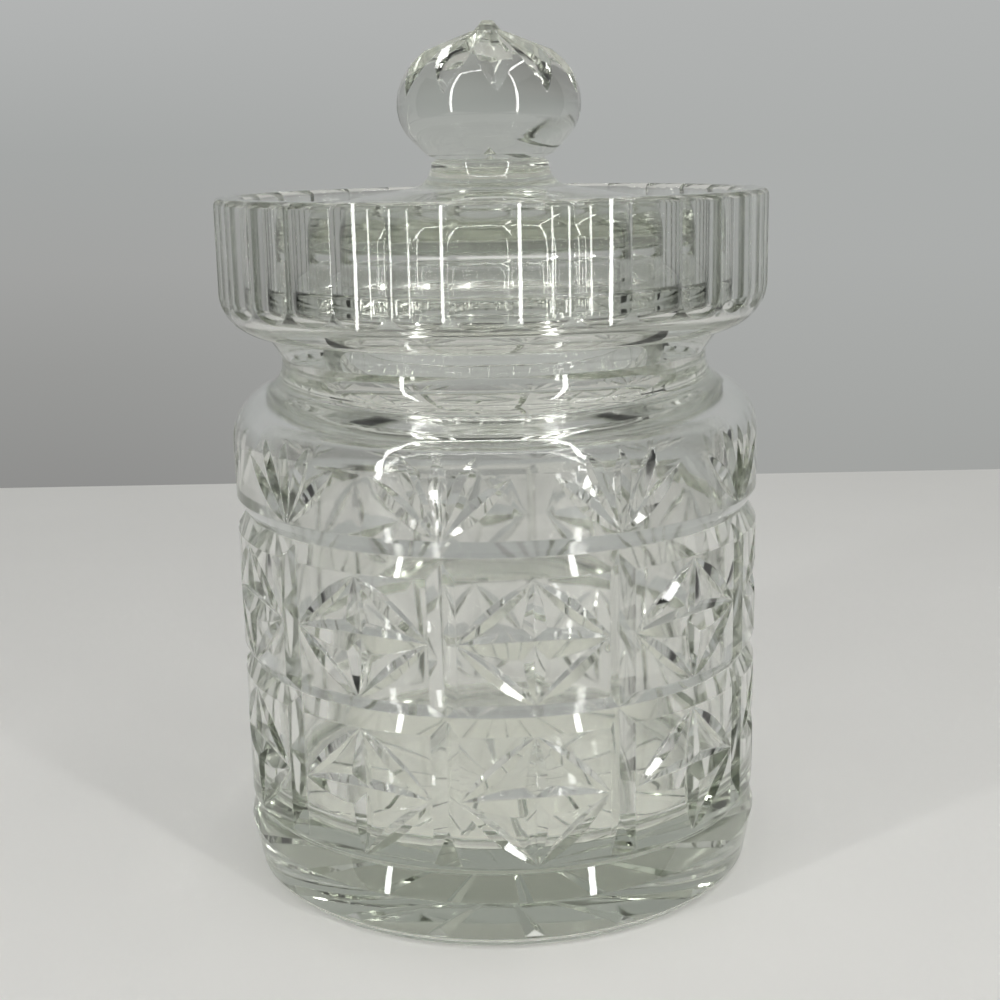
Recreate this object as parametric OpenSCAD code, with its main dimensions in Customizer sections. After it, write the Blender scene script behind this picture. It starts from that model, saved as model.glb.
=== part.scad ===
// Cut-glass biscuit jar: a thick-walled jar with a wide fluted collar, and a
// domed lid with an onion knob that drops into the collar.
// Millimetres, +Z up. The origin is the centre of the foot, on the table.
// A panel of the cut pattern faces -Y.

/* [Jar] */
// Outer radius of the straight body
body_r = 63; // [60.5:0.5:66]
// Thickness of the body wall
wall = 7; // [6.2:0.2:8]
// Height of the inner floor above the table
floor_z = 21; // [18:0.5:23]
// Radius of the ring the jar stands on
foot_r = 59.6; // [57.4:0.2:60]
// Inner radius of the neck
mouth_r = 43; // [40:0.5:43.5]

/* [Collar] */
// Outer radius over the ridges of the flutes
collar_r = 64.8; // [64:0.2:67]
// Height of the rim above the table
rim_z = 162.5; // [160:0.5:168]
// Thickness of the collar wall
collar_wall = 6.2; // [5.8:0.2:6.8]
// Number of flutes round the collar
flutes = 32; // [28:1:36]
// Depth of a flute below the ridges
flute_depth = 1.1; // [0.9:0.1:1.3]

/* [Cut pattern] */
// Number of panels round the body
panels = 10; // [9:1:11]
// Half the angle between the two faces of a cut
cut_half_angle = 58; // [55:1:61]
// Depth of the upper ring cut
ring_depth = 2.4; // [2:0.1:2.6]
// Depth of the upright cuts between the panels
upright_depth = 2.0; // [1.6:0.1:2.1]
// Number of rays of the star under the base
star_rays = 16; // [12:2:20]

/* [Lid] */
// Radius of the lid's flange
flange_r = 57; // [56:0.5:57.5]
// Radius of the raised dome
dome_r = 44.5; // [43:0.5:46]
// Radius of the stem under the knob
stem_r = 13.8; // [12.5:0.2:15]
// Greatest radius of the knob
knob_r = 21.5; // [20.5:0.1:22.5]
// Number of leaf cuts on the knob
knob_cuts = 11; // [9:1:12]

/* [Hidden] */
$fn = 96;

jar_glass = [0.86, 0.90, 0.88, 0.35];
lid_glass = [0.88, 0.91, 0.90, 0.35];

sector = 360 / panels;

// ring cuts: [middle height, half width, depth]
rings = [
  [89.0, 4.15, ring_depth],
  [53.7, 3.5, 2.15]
];
// panels: [middle height, half height]
rows = [[70.7, 13.8], [35.2, 14.9]];
panel_half_angle = sector * 0.425;
upright_top = rings[0][0];
upright_end = 18;

// the neck: straight for a little, then eased into the shoulder below and sloping out above
neck_r = 50.7;
neck_round = 6.5;
neck_z = 124;
neck_top = 125.7;
shoulder_round = 12;
ease_r = neck_r + neck_round;
ease_from = ease_r - body_r + shoulder_round;
shoulder_z = neck_z - sqrt(pow(shoulder_round + neck_round, 2) - pow(ease_from, 2));
shoulder_top = shoulder_z + shoulder_round;
underside_z = 130.9;
under_round = 10.5;
gallery_z = 136.5;
gallery_r = collar_r - collar_wall;
rim_round = 1.6;
inner_r = body_r - wall;
foot_hollow = 0.8;

flute_r = 26;

seat_gap = 0.2;
flange_z = gallery_z + seat_gap;
flange_top = 143.3;
flange_round = 3;
flange_edge = 1;
dome_top = 163.3;
ceiling_z = 151;
dome_drop = 2.5;
dome_round = 9;
equator_z = 182.3;
knob_top = 201.1;
upper_bulge = 14;
lower_bulge = 11.2;
button_r = 3.2;
knob_base = 170;
lid_turn = -1.8;

// ---- outlines ----

// a rectangle from one corner to the other
module block(from, to) {
  translate(from)
    square(to - from);
}

// the notch a ring cut leaves in the wall
module ring_notch(ring) {
  z = ring[0];
  w = ring[1];
  d = ring[2];
  polygon([
    [body_r - d, z],
    [body_r + 1, z - w * (d + 1) / d],
    [body_r + 1, z + w * (d + 1) / d]
  ]);
}

// the blank of the jar before it is hollowed
module jar_outline() {
  polygon([
    [0, 0], [foot_r, 0], [foot_r + 1.9, 1.7], [body_r + 0.4, 12], [body_r - 1.2, 18.1],
    [body_r, 19.5], [body_r, shoulder_z], [0, shoulder_z]
  ]);
  translate([body_r - shoulder_round, shoulder_z])
    circle(shoulder_round);
  block([0, shoulder_z - 1], [body_r - shoulder_round, shoulder_top]);
  neck_outline();
  collar_outline();
}

module neck_outline() {
  under_r = collar_r - under_round;
  meet_r = body_r - shoulder_round + ease_from * shoulder_round / (shoulder_round + neck_round);
  difference() {
    block([0, shoulder_z], [meet_r, neck_z]);
    translate([ease_r, neck_z])
      circle(neck_round);
  }
  polygon([
    [0, neck_z - 1], [neck_r, neck_z - 1], [neck_r, neck_top],
    [under_r, underside_z], [under_r, underside_z + 1], [0, underside_z + 1]
  ]);
}

module collar_outline() {
  arc_r = collar_r - under_round;
  arc_z = underside_z + under_round;
  translate([arc_r, arc_z])
    circle(under_round);
  block([0, underside_z], [arc_r, arc_z + 1]);
  block([0, arc_z], [collar_r, rim_z - rim_round]);
  block([0, arc_z], [collar_r - rim_round, rim_z]);
  translate([collar_r - rim_round, rim_z - rim_round])
    circle(rim_round);
}

// the room inside the jar, open at the top
module hollow_outline() {
  corner = 6;
  top_round = shoulder_round - wall + 0.4;
  turn_z = shoulder_z - 0.4;
  top_z = turn_z + top_round;
  ease = 3.5;
  lip = 2;
  block([0, floor_z], [inner_r - corner, floor_z + corner]);
  translate([inner_r - corner, floor_z + corner])
    circle(corner);
  block([0, floor_z + corner], [inner_r, turn_z]);
  translate([inner_r - top_round, turn_z])
    circle(top_round);
  block([0, turn_z - 1], [inner_r - top_round, top_z]);
  // neck, eased at both ends
  block([0, top_z - 1], [mouth_r, rim_z]);
  difference() {
    block([0, top_z - 1], [mouth_r + ease, top_z + ease]);
    translate([mouth_r + ease, top_z + ease])
      circle(ease);
  }
  difference() {
    block([0, gallery_z - lip], [mouth_r + lip, gallery_z + 1]);
    translate([mouth_r + lip, gallery_z - lip])
      circle(lip);
  }
  gallery_outline();
}

// the seat for the lid inside the collar
module gallery_outline() {
  corner = 2.5;
  translate([gallery_r - corner, gallery_z + corner])
    circle(corner);
  block([0, gallery_z], [gallery_r - corner, gallery_z + corner]);
  block([0, gallery_z + corner], [gallery_r, rim_z + 1]);
  difference() {
    block([0, rim_z - rim_round], [gallery_r + rim_round, rim_z + 1]);
    translate([gallery_r + rim_round, rim_z - rim_round])
      circle(rim_round);
  }
}

// ---- cuts ----

// radius of the wheel that leaves a cut of this length and depth on the body
function wheel_r(length, depth, lean) =
  1 / (8 * depth / pow(length, 2) - pow(sin(lean), 2) / body_r);

// the rim of a cutting wheel that works upright in front of the origin
module wheel_cut(length, depth, radius) {
  reach = depth + 0.3;
  half = asin(min(0.9, (length / 2 + 0.6) / radius));
  half_w = reach * tan(cut_half_angle);
  translate([0, -(radius - depth), 0])
    rotate([0, 90, 0])
      rotate([0, 0, 90 - half])
        rotate_extrude(angle = 2 * half)
          polygon([
            [radius, 0], [radius - reach, half_w], [radius - reach, -half_w]
          ]);
}

// a leaf-shaped cut in the body, leaning right by an angle
module leaf(angle, z, length, depth, lean) {
  rotate([0, 0, angle])
    translate([0, -body_r, z])
      rotate([0, lean, 0])
        wheel_cut(length, depth, wheel_r(length, depth, lean));
}

// a level leaf: a straight cut across the curve of the body
module level_leaf(angle, z, half_angle) {
  bottom = body_r * cos(half_angle);
  top = body_r + 0.8;
  half_w = (top - bottom) * tan(cut_half_angle);
  rotate([0, 0, angle])
    translate([-body_r * sin(half_angle) - 1, 0, z])
      rotate([90, 0, 90])
        linear_extrude(2 * body_r * sin(half_angle) + 2)
          polygon([[-bottom, 0], [-top, half_w], [-top, -half_w]]);
}

// two opposite leaves of the diamond in every panel
module slanted_leaves(way) {
  for (i = [0:panels - 1], row = rows, up = [-1, 1]) {
    side = body_r * panel_half_angle * PI / 180;
    length = sqrt(pow(side, 2) + pow(row[1], 2));
    lean = -way * atan(side / row[1]);
    angle = i * sector + way * up * panel_half_angle / 2;
    leaf(angle, row[0] + up * row[1] / 2, length, 1.15, lean);
  }
}

// leaves of every fan; the fans rise from the top edge of the upper ring cut
module fan_leaves(leans) {
  base_z = rings[0][0] + rings[0][1] - 0.4;
  for (i = [0:panels - 1], lean = leans) {
    start = lean == 0 ? 0 : 1;
    length = abs(lean) > 40 ? 19.5 : 23;
    middle = start + length / 2;
    across = sin(lean) * middle / body_r * 180 / PI;
    leaf((i + 0.5) * sector + across, base_z + cos(lean) * middle, length, 1.25, lean);
  }
}

// an upright cut between two panels; its lower end slopes out to the surface
module upright(angle) {
  bottom = body_r - upright_depth;
  top = body_r + 0.8;
  half_w = (top - bottom) * tan(cut_half_angle);
  slope = 9 / upright_depth;
  rotate([0, 0, angle])
    intersection() {
      translate([0, 0, upright_end])
        linear_extrude(upright_top - upright_end)
          polygon([[0, -bottom], [half_w, -top], [-half_w, -top]]);
      translate([-10, 0, 0])
        rotate([90, 0, 90])
          linear_extrude(20)
            polygon([
              [-bottom + 1, upright_end + slope * (upright_depth + 1)],
              [-bottom + 1, upright_top + 1],
              [-top - 1, upright_top + 1],
              [-top - 1, upright_end - slope]
            ]);
    }
}

// the room the collar keeps when hollow flutes are cut down its outside
module fluted_room() {
  cylinder(r = collar_r + 5, h = underside_z);
  translate([0, 0, underside_z])
    linear_extrude(rim_z - underside_z + 1)
      difference() {
        circle(collar_r + 1);
        for (i = [0:flutes - 1])
          rotate([0, 0, (i + 0.2) * 360 / flutes])
            translate([0, -(collar_r - flute_depth + flute_r)])
              circle(flute_r);
      }
}

// one ray of the star under the base, deepest towards its outer end
module ray(angle) {
  near = 7;
  far = foot_r - 7;
  deep = 1.4;
  under = 0.1;
  half_w = tan(cut_half_angle);
  rotate([0, 0, angle])
    translate([0, 0, foot_hollow])
      intersection() {
        translate([0, -near, 0])
          rotate([-atan(deep / (far - near)), 0, 0])
            rotate([90, 0, 0])
              linear_extrude(far - near)
                polygon([[0, 0], [deep * 2 * half_w, -deep * 2], [-deep * 2 * half_w, -deep * 2]]);
        rotate([90, 0, 90])
          translate([0, 0, -15])
            linear_extrude(30)
              polygon([[-near, -under], [-far, -under], [-far + 6, 4], [-near, 4]]);
      }
}

// ---- pieces ----

// the jar turned, hollowed and fluted, before the pattern is cut
module jar_blank() {
  intersection() {
    rotate_extrude()
      difference() {
        jar_outline();
        hollow_outline();
        for (ring = rings)
          ring_notch(ring);
        block([-1, -1], [foot_r - 5, foot_hollow]);
      }
    fluted_room();
  }
}

// each set of cuts goes all the way round; no two cuts of a set meet
module cut_set(n) {
  if (n == 1)
    for (i = [0:panels - 1])
      upright((i + 0.5) * sector);
  if (n == 2)
    for (i = [0:panels - 1], row = rows)
      level_leaf(i * sector, row[0], panel_half_angle);
  if (n == 3)
    for (i = [0:panels - 1], row = rows)
      leaf(i * sector, row[0], 2 * row[1], 1.8, 0);
  if (n == 4)
    slanted_leaves(-1);
  if (n == 5)
    slanted_leaves(1);
  if (n == 6)
    fan_leaves([-48, 0, 48]);
  if (n == 7)
    fan_leaves([-24, 24]);
  if (n == 8)
    for (i = [0:star_rays - 1])
      ray(i * 360 / star_rays);
}

// the blank after the first n sets of cuts, made one after another
module cut_jar(n) {
  if (n == 0)
    jar_blank();
  else
    difference() {
      cut_jar(n - 1);
      cut_set(n);
    }
}

module jar() {
  color(jar_glass)
    cut_jar(8);
}

// the knob: a bulge that runs down to the stem as a cone, a rounder one above, then a cone
// and the button at its tip
module knob_outline() {
  under_r = knob_r - lower_bulge * (1 - cos(45));
  under_z = equator_z - lower_bulge * sin(45);
  cone_from = 50;
  cone_r = knob_r - upper_bulge * (1 - cos(cone_from));
  cone_z = equator_z + upper_bulge * sin(cone_from);
  crown_r = 10;
  crown_z = cone_z + (cone_r - crown_r) * tan(90 - cone_from);
  intersection() {
    union() {
      translate([knob_r - lower_bulge, equator_z])
        circle(lower_bulge);
      polygon([[0, knob_base], [stem_r, knob_base], [under_r, under_z], [0, under_z + 1]]);
      difference() {
        translate([knob_r - upper_bulge, equator_z])
          circle(upper_bulge);
        block([-50, equator_z - 50], [50, equator_z]);
      }
      polygon([
        [0, equator_z], [cone_r - 4, equator_z], [cone_r, cone_z],
        [crown_r, crown_z], [button_r + 0.2, knob_top - 2.4], [1.3, knob_top], [0, knob_top]
      ]);
    }
    block([0, knob_base], [knob_r + 1, knob_top + 1]);
  }
}

module lid_outline() {
  flare = 6;
  shoulder_r = dome_r - dome_round;
  knob_outline();
  difference() {
    block([0, dome_top - 1.5], [stem_r + flare, knob_base + 3]);
    translate([stem_r + flare, dome_top + flare])
      circle(flare);
    block([stem_r, dome_top + flare], [stem_r + flare + 1, knob_base + 4]);
  }
  polygon([
    [0, flange_z], [shoulder_r, flange_z], [shoulder_r, dome_top - dome_drop],
    [stem_r + flare, dome_top], [0, dome_top]
  ]);
  translate([shoulder_r, dome_top - dome_drop - dome_round])
    circle(dome_round);
  block([0, flange_z], [dome_r, dome_top - dome_drop - dome_round]);
  block([0, flange_z], [flange_r - flange_round, flange_top]);
  block([0, flange_z + flange_round], [flange_r, flange_top - flange_edge]);
  translate([flange_r - flange_round, flange_z + flange_round])
    circle(flange_round);
  translate([flange_r - flange_edge, flange_top - flange_edge])
    circle(flange_edge);
  block([0, flange_top - flange_edge - 1], [flange_r - flange_edge, flange_top]);
}

module lid_hollow() {
  corner = 4;
  r = dome_r - 6;
  block([-1, flange_z - 1], [r, ceiling_z - corner]);
  block([-1, flange_z - 1], [r - corner, ceiling_z]);
  translate([r - corner, ceiling_z - corner])
    circle(corner);
}

// the fine line cut round the stem just under the knob
module crease() {
  polygon([
    [stem_r - 1, knob_base], [stem_r + 1, knob_base - 1.1], [stem_r + 1, knob_base + 1.1]
  ]);
}

// a straight groove that rises from near the widest line of the knob to the button at its tip
module knob_leaf(angle) {
  slope = 36.5;
  reach = 5;
  half_w = reach * tan(48);
  rotate([0, 0, angle])
    intersection() {
      translate([0, 0.2 - knob_r, equator_z + 2.2])
        rotate([slope - 90, 0, 0])
          translate([0, 0, -1.5])
            linear_extrude(30)
              polygon([[0, 0], [-half_w, -reach], [half_w, -reach]]);
      translate([-knob_r, -knob_r - 3, equator_z])
        cube([2 * knob_r, knob_r - button_r + 3, 30]);
    }
}

module lid_blank() {
  rotate_extrude()
    difference() {
      lid_outline();
      lid_hollow();
      crease();
    }
}

// the blank after the first n leaf cuts
module cut_lid(n) {
  if (n == 0)
    lid_blank();
  else
    difference() {
      cut_lid(n - 1);
      knob_leaf(n * 360 / knob_cuts + lid_turn);
    }
}

module lid() {
  color(lid_glass)
    cut_lid(knob_cuts);
}

jar();
lid();
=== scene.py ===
"""A cut-glass biscuit jar with its lid, on a pale table in a light tent."""

import math

import bpy
from mathutils import Matrix, Vector

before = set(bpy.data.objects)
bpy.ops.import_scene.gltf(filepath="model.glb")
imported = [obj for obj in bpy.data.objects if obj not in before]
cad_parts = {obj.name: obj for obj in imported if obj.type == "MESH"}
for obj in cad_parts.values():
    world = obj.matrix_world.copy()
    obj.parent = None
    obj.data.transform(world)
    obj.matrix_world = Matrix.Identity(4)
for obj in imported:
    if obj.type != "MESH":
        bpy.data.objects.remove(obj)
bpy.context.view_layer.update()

# everything around the jar is laid out as the viewer sees it, then turned onto the jar's own axes
TURN = Matrix.Rotation(math.radians(-6.8), 4, "Z")


# ---- shader helpers ----


class Value:
    """A number in a shader, which can be used in sums."""

    def __init__(self, finish, socket):
        self.finish = finish
        self.socket = socket

    def math(self, operation, *terms):
        return self.finish.add("ShaderNodeMath", {"operation": operation}, dict(enumerate(terms)))

    def __add__(self, other):
        return self.math("ADD", self, other)

    def __radd__(self, other):
        return self.math("ADD", other, self)

    def __sub__(self, other):
        return self.math("SUBTRACT", self, other)

    def __rsub__(self, other):
        return self.math("SUBTRACT", other, self)

    def __mul__(self, other):
        return self.math("MULTIPLY", self, other)

    def __rmul__(self, other):
        return self.math("MULTIPLY", other, self)

    def __pow__(self, other):
        return self.math("POWER", self, other)


class Finish:
    """A material made of nodes."""

    def __init__(self, name):
        self.material = bpy.data.materials.new(name)
        self.material.use_nodes = True
        self.tree = self.material.node_tree
        self.tree.nodes.clear()
        self.output = self.tree.nodes.new("ShaderNodeOutputMaterial")

    def add(self, kind, settings=None, sockets=None, out=0):
        """A node of this kind: its settings, then the values or links of its sockets."""
        node = self.tree.nodes.new(kind)
        for name, value in (settings or {}).items():
            if name == "stops":
                ramp = node.color_ramp
                while len(ramp.elements) < len(value):
                    ramp.elements.new(1)
                for element, (position, colour) in zip(ramp.elements, value):
                    element.position = position
                    element.color = (*colour, 1)
            else:
                setattr(node, name, value)
        for name, value in (sockets or {}).items():
            if isinstance(value, Value):
                self.tree.links.new(value.socket, node.inputs[name])
            else:
                node.inputs[name].default_value = value
        return Value(self, node.outputs[out])

    def place(self):
        """The point on the piece, in metres, and its three parts."""
        point = self.add("ShaderNodeTexCoord", out="Object")
        parts = [self.add("ShaderNodeSeparateXYZ", None, {0: point}, out=i) for i in range(3)]
        return point, parts

    def mix(self, factor, first, second):
        """The first colour where the factor is 0, the second where it is 1."""
        return self.add("ShaderNodeMix", {"data_type": "RGBA"},
                        {"Factor": factor, 6: first, 7: second}, out=2)

    def ramp(self, value, stops):
        """A colour that follows the value through these stops."""
        return self.add("ShaderNodeValToRGB", {"stops": stops}, {0: value})

    def step(self, value, low, high):
        """0 below low, 1 above high, and smooth between them."""
        return self.add("ShaderNodeMapRange", {"interpolation_type": "SMOOTHSTEP"},
                        {"Value": value, "From Min": low, "From Max": high})

    def noise(self, point, scale, detail, distortion=0.0):
        return self.add("ShaderNodeTexNoise", None,
                        {"Vector": point, "Scale": scale, "Detail": detail, "Distortion": distortion})

    def close(self, shader, socket="Surface"):
        self.tree.links.new(shader.socket, self.output.inputs[socket])
        return self.material


# ---- glass ----

CLEAR = (0.988, 0.99, 0.978, 1)
SMEARED = (0.955, 0.96, 0.945, 1)
DEPTH_TINT = (0.735, 0.765, 0.70, 1)
DEPTH_DENSITY = 15.0
EDGE_ROUND = 0.0004

# the inside of the jar, in metres
INNER_RADIUS = 0.056
INNER_FLOOR = 0.021
INNER_SHOULDER = 0.113
FOOT_RING = 0.0004
NOWHERE = -1.0


def crystal(name, ground_below, rough_inside_below):
    """Polished lead crystal: softened edges, slow waves, a fine skin, smears, and a ground foot."""
    finish = Finish(name)
    point, (x, y, z) = finish.place()

    edges = finish.add("ShaderNodeBevel", {"samples": 4}, {"Radius": EDGE_ROUND})
    waves = finish.noise(point, 48, 1.0, 0.3)
    skin = finish.noise(point, 700, 2.0)
    bumps = finish.add("ShaderNodeBump", None,
                       {"Strength": 1.0, "Distance": 0.00010, "Height": waves, "Normal": edges})
    bumps = finish.add("ShaderNodeBump", None,
                       {"Strength": 1.0, "Distance": 0.0000025, "Height": skin, "Normal": bumps})

    smears = finish.step(finish.noise(point, 30, 5.0, 0.8), 0.56, 0.78)
    ground = 1 - finish.step(z, ground_below, ground_below + 0.0003)
    # the inner wall was never cut or polished, so the far side is seen a little softly through it
    radius = (x * x + y * y) ** 0.5
    within = 1 - finish.step(radius, INNER_RADIUS + 0.0015, INNER_RADIUS + 0.0025)
    above_floor = finish.step(z, INNER_FLOOR + 0.0015, INNER_FLOOR + 0.0035)
    below_shoulder = 1 - finish.step(z, rough_inside_below - 0.001, rough_inside_below)
    inner_wall = within * above_floor * below_shoulder

    glass = finish.add("ShaderNodeBsdfPrincipled", None, {
        "Base Color": finish.mix(smears, CLEAR, SMEARED),
        "Roughness": smears * 0.035 + ground * 0.3 + inner_wall * 0.07,
        "IOR": 1.545,
        "Transmission Weight": 1.0,
        "Normal": bumps,
    })
    finish.close(glass)
    depth = finish.add("ShaderNodeVolumeAbsorption", None, {"Color": DEPTH_TINT, "Density": DEPTH_DENSITY})
    return finish.close(depth, "Volume")


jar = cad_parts["jar"]
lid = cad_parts["lid"]
jar.material_slots[0].material = crystal("jar_crystal", FOOT_RING, INNER_SHOULDER)
lid.material_slots[0].material = crystal("lid_crystal", NOWHERE, NOWHERE)


# ---- the table, the wall and the dark opening of the tent ----

TABLE_TOP = -0.00005
TABLE_REACH = 2.5
TABLE_FAR_LEFT = 0.452
TABLE_FAR_RIGHT = 0.425
WALL_AWAY = 0.9

OPENING_LEFT = -0.46
OPENING_RIGHT = 0.33
OPENING_FRONT = -0.47
OPENING_HEIGHT = 0.95
SIDES_BACK = 0.08
SIDES_HEIGHT = 0.5


def sheet_of(name, corners, material):
    """A flat four-cornered piece of the surroundings."""
    mesh = bpy.data.meshes.new(name)
    mesh.from_pydata([TURN @ Vector(corner) for corner in corners], [], [(0, 1, 2, 3)])
    piece = bpy.data.objects.new(name, mesh)
    bpy.context.scene.collection.objects.link(piece)
    mesh.materials.append(material)
    return piece


def upright_sheet(name, start, end, bottom, top, material):
    """A sheet that stands on the line from start to end."""
    return sheet_of(name, [(*start, bottom), (*end, bottom), (*end, top), (*start, top)], material)


def table_finish():
    """A pale matt top, a little cloudy, that glows with painted light."""
    finish = Finish("pale_table")
    point, (x, y, _) = finish.place()
    colour = finish.ramp(finish.noise(point, 9, 3.0), [
        (0.3, (0.585, 0.58, 0.562)), (0.7, (0.605, 0.60, 0.582))])
    # painted light: the table glows a little everywhere and more towards the front, and the light the
    # glass gathers under the foot is painted as a brighter pool
    # painted light: the glow is weaker at the back and stronger at the front
    painted_front_mask = 1 - finish.step(y, -0.35, 0.42)
    painted_fill_light = finish.mix(painted_front_mask, (0.11, 0.11, 0.106, 1), (0.23, 0.229, 0.222, 1))
    # painted light: a disc of extra glow under the foot, for the light the glass gathers onto the table
    radius = (x * x + y * y) ** 0.5
    painted_caustic_pool = 1 - finish.step(radius, 0.040, 0.060)
    painted_glow = finish.mix(painted_caustic_pool, painted_fill_light, (0.32, 0.315, 0.292, 1))
    surface = finish.add("ShaderNodeBsdfPrincipled", None,
                         {"Base Color": colour, "Roughness": 0.55, "Specular IOR Level": 0.3,
                          "Emission Color": painted_glow, "Emission Strength": 1.0})
    return finish.close(surface)


def wall_finish():
    """A pale cloth wall that glows with painted light and shade, lighter at the top and darker towards its
    lower left.
    """
    finish = Finish("pale_wall")
    _, (x, _, z) = finish.place()
    height = finish.add("ShaderNodeMapRange", None, {"Value": z, "From Min": -0.10, "From Max": 0.30})
    left = finish.ramp(height, [
        (0.0, (0.274, 0.274, 0.268)), (0.25, (0.316, 0.318, 0.310)), (0.45, (0.362, 0.365, 0.358)),
        (0.68, (0.378, 0.389, 0.383)), (0.92, (0.437, 0.447, 0.443)), (1.0, (0.452, 0.460, 0.458))])
    right = finish.ramp(height, [
        (0.0, (0.363, 0.370, 0.360)), (0.25, (0.388, 0.397, 0.388)), (0.45, (0.410, 0.420, 0.413)),
        (0.68, (0.416, 0.428, 0.421)), (0.92, (0.440, 0.450, 0.445)), (1.0, (0.452, 0.460, 0.456))])
    # painted light and shade: the glowing wall is darker to the lower left and lighter to the top and
    # right
    painted_wall_light = finish.mix(finish.step(x, -0.30, 0.42), left, right)
    painted_glow = finish.add("ShaderNodeEmission", None, {"Color": painted_wall_light, "Strength": 1.0})
    material = finish.close(painted_glow)
    material.cycles.emission_sampling = "NONE"
    return material


def painted_shade_finish():
    """Painted shade: a near-black sheet, hidden from the camera, for the unlit room outside the tent and
    for the tent's sides, so the glass shows dark there.
    """
    finish = Finish("dark_opening")
    surface = finish.add("ShaderNodeBsdfDiffuse", None, {"Color": (0.02, 0.02, 0.022, 1)})
    return finish.close(surface)


sheet_of("table", [(-TABLE_REACH, -TABLE_REACH, TABLE_TOP), (TABLE_REACH, -TABLE_REACH, TABLE_TOP),
                   (TABLE_REACH, TABLE_FAR_RIGHT, TABLE_TOP), (-TABLE_REACH, TABLE_FAR_LEFT, TABLE_TOP)],
         table_finish())
upright_sheet("wall", (-TABLE_REACH, WALL_AWAY), (TABLE_REACH, WALL_AWAY), -0.6, 1.6, wall_finish())

dark = painted_shade_finish()
front_left = (OPENING_LEFT, OPENING_FRONT)
front_right = (OPENING_RIGHT, OPENING_FRONT)
# painted shade: near-black sheets at the front opening and down both sides, hidden from the camera, that
# darken what the glass reflects and shows
for name, start, end, height in [
    ("opening", front_left, front_right, OPENING_HEIGHT),
    ("left_side", front_left, (OPENING_LEFT, SIDES_BACK), SIDES_HEIGHT),
    ("right_side", front_right, (OPENING_RIGHT, SIDES_BACK), SIDES_HEIGHT),
]:
    upright_sheet(name, start, end, 0.0, height, dark).visible_camera = False


# ---- the lights ----

STRIP_WIDTH = 0.026
STRIP_BRIGHTNESS = 21.0
LEFT_LAMP = (-0.439, -0.409)
RIGHT_LAMP = (0.308, -0.440)
LAMP_BOTTOM = 0.0
LAMP_TOP = 0.93
BAR_HEIGHT = 0.94
AIMED_AT = Vector((0, 0, 0.1))


def strip(name, start, end, width, brightness):
    """A strip of small lamps between two points, shining at the jar."""
    start, end = TURN @ Vector(start), TURN @ Vector(end)
    middle = (start + end) / 2
    along = (end - start).normalized()
    away = middle - AIMED_AT
    away = (away - along * away.dot(along)).normalized()
    across = away.cross(along)
    light = bpy.data.lights.new(name, "AREA")
    light.shape = "RECTANGLE"
    light.size = (end - start).length
    light.size_y = width
    light.energy = brightness * light.size * width * math.pi
    light.color = (1.0, 0.995, 0.98)
    lamp = bpy.data.objects.new(name, light)
    lamp.matrix_world = Matrix.Translation(middle) @ Matrix((along, across, away)).transposed().to_4x4()
    lamp.visible_camera = False
    bpy.context.scene.collection.objects.link(lamp)


for name, start, end in [
    ("left_upright", (*LEFT_LAMP, LAMP_BOTTOM), (*LEFT_LAMP, LAMP_TOP)),
    ("right_upright", (*RIGHT_LAMP, LAMP_BOTTOM), (*RIGHT_LAMP, LAMP_TOP)),
    ("front_top", (*LEFT_LAMP, BAR_HEIGHT), (*RIGHT_LAMP, BAR_HEIGHT)),
    ("right_top", (*RIGHT_LAMP, BAR_HEIGHT), (0.420, 0.200, 0.90)),
]:
    strip(name, start, end, STRIP_WIDTH, STRIP_BRIGHTNESS)
strip("ceiling", (-0.5, 0.1, 1.30), (0.5, 0.1, 1.30), 0.8, 0.4)

world = bpy.data.worlds.new("tent")
bpy.context.scene.world = world
world.use_nodes = True
background = world.node_tree.nodes["Background"]
background.inputs["Color"].default_value = (0.47, 0.47, 0.462, 1)
background.inputs["Strength"].default_value = 1.0


# ---- camera ----

YAW = math.radians(0.12)
PITCH = math.radians(12.78)
ROLL = math.radians(-1.13)
CAMERA_AT = (0, -0.37798, 0.1735)
LENS = 56.64

level_right = Vector((math.cos(YAW), -math.sin(YAW), 0))
level_forward = Vector((math.sin(YAW), math.cos(YAW), 0))
forward = math.cos(PITCH) * level_forward - math.sin(PITCH) * Vector((0, 0, 1))
level_up = math.sin(PITCH) * level_forward + math.cos(PITCH) * Vector((0, 0, 1))
right = math.cos(ROLL) * level_right + math.sin(ROLL) * level_up
up = math.cos(ROLL) * level_up - math.sin(ROLL) * level_right

view = bpy.data.cameras.new("camera")
view.sensor_width = 36
view.lens = LENS
view.clip_start = 0.01
camera = bpy.data.objects.new("camera", view)
axes = Matrix((right, up, -forward)).transposed().to_4x4()
camera.matrix_world = TURN @ Matrix.Translation(CAMERA_AT) @ axes
bpy.context.scene.collection.objects.link(camera)
bpy.context.scene.camera = camera

scene = bpy.context.scene
scene.view_settings.view_transform = "Standard"
scene.cycles.max_bounces = 32
scene.cycles.diffuse_bounces = 3
scene.cycles.glossy_bounces = 16
scene.cycles.transmission_bounces = 32
scene.cycles.transparent_max_bounces = 16
scene.cycles.sample_clamp_indirect = 16.0
scene.cycles.blur_glossy = 0.0
scene.cycles.use_denoising = True
